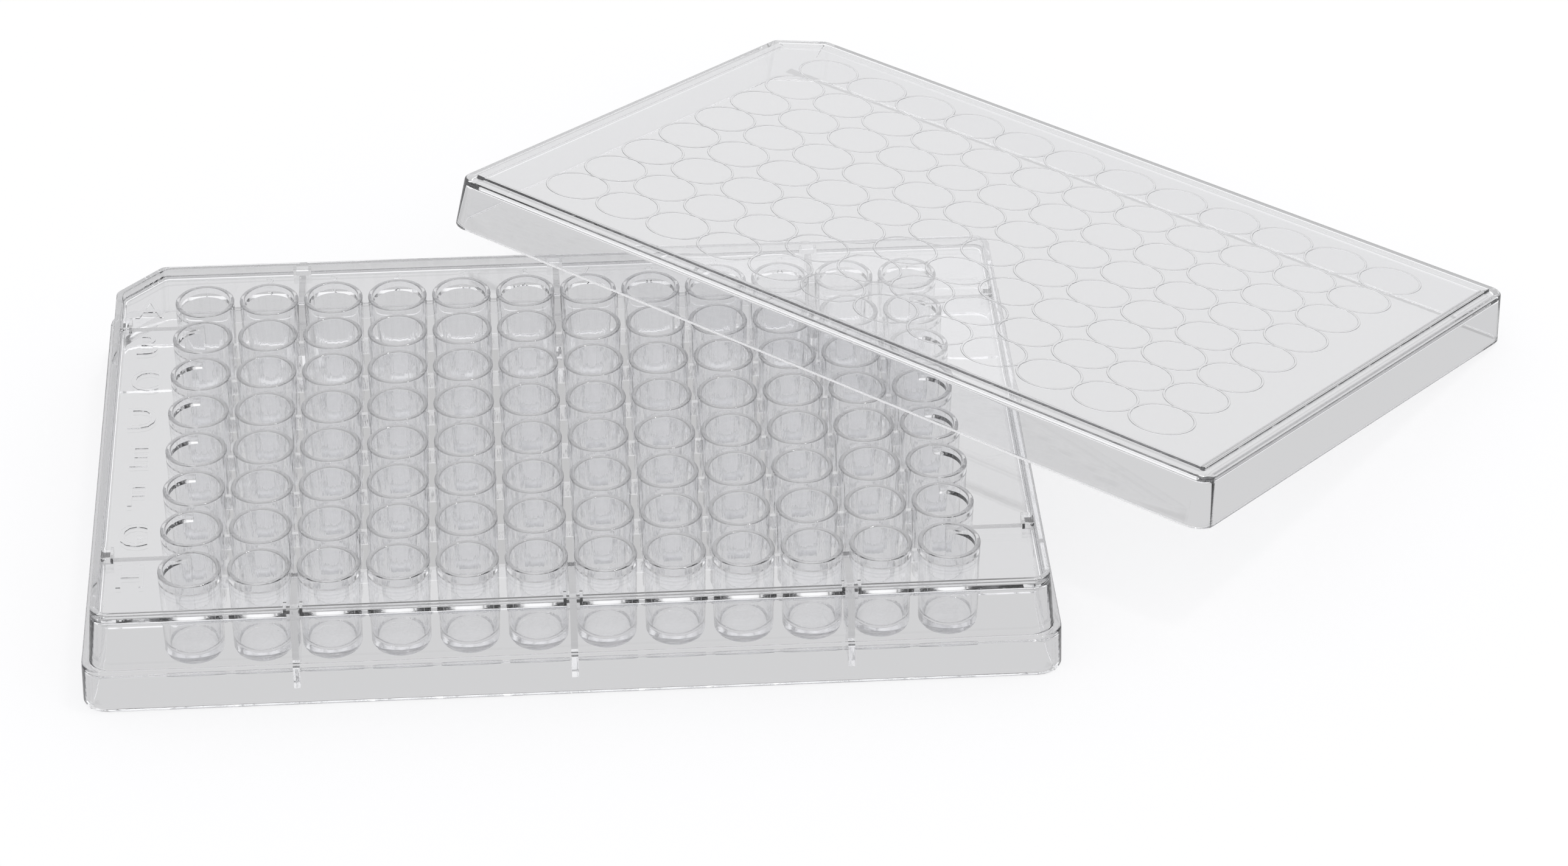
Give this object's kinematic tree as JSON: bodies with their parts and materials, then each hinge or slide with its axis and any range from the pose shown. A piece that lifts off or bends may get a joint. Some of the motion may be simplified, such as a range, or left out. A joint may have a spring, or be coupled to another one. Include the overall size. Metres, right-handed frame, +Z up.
{
  "type": "well plate",
  "caption": "Clear rectangular well plate: round flat-bottomed wells hang from a bordered deck on a hollow skirt, with its loose clear lid lying askew across it.",
  "frame": {"origin": "middle of the plate's footprint, on the surface it stands on", "axes": "+X along the rows of wells from column 1 to column 12, +Y towards row A, +Z up out of the wells' mouths"},
  "size_m": [0.1995, 0.1524, 0.022],
  "materials": {
    "clear_plate": "gloss",
    "clear_lid": "gloss"
  },
  "bodies": {
    "root": {"well_plate": "clear_plate", "lid": "clear_lid"}
  },
  "joints": []
}
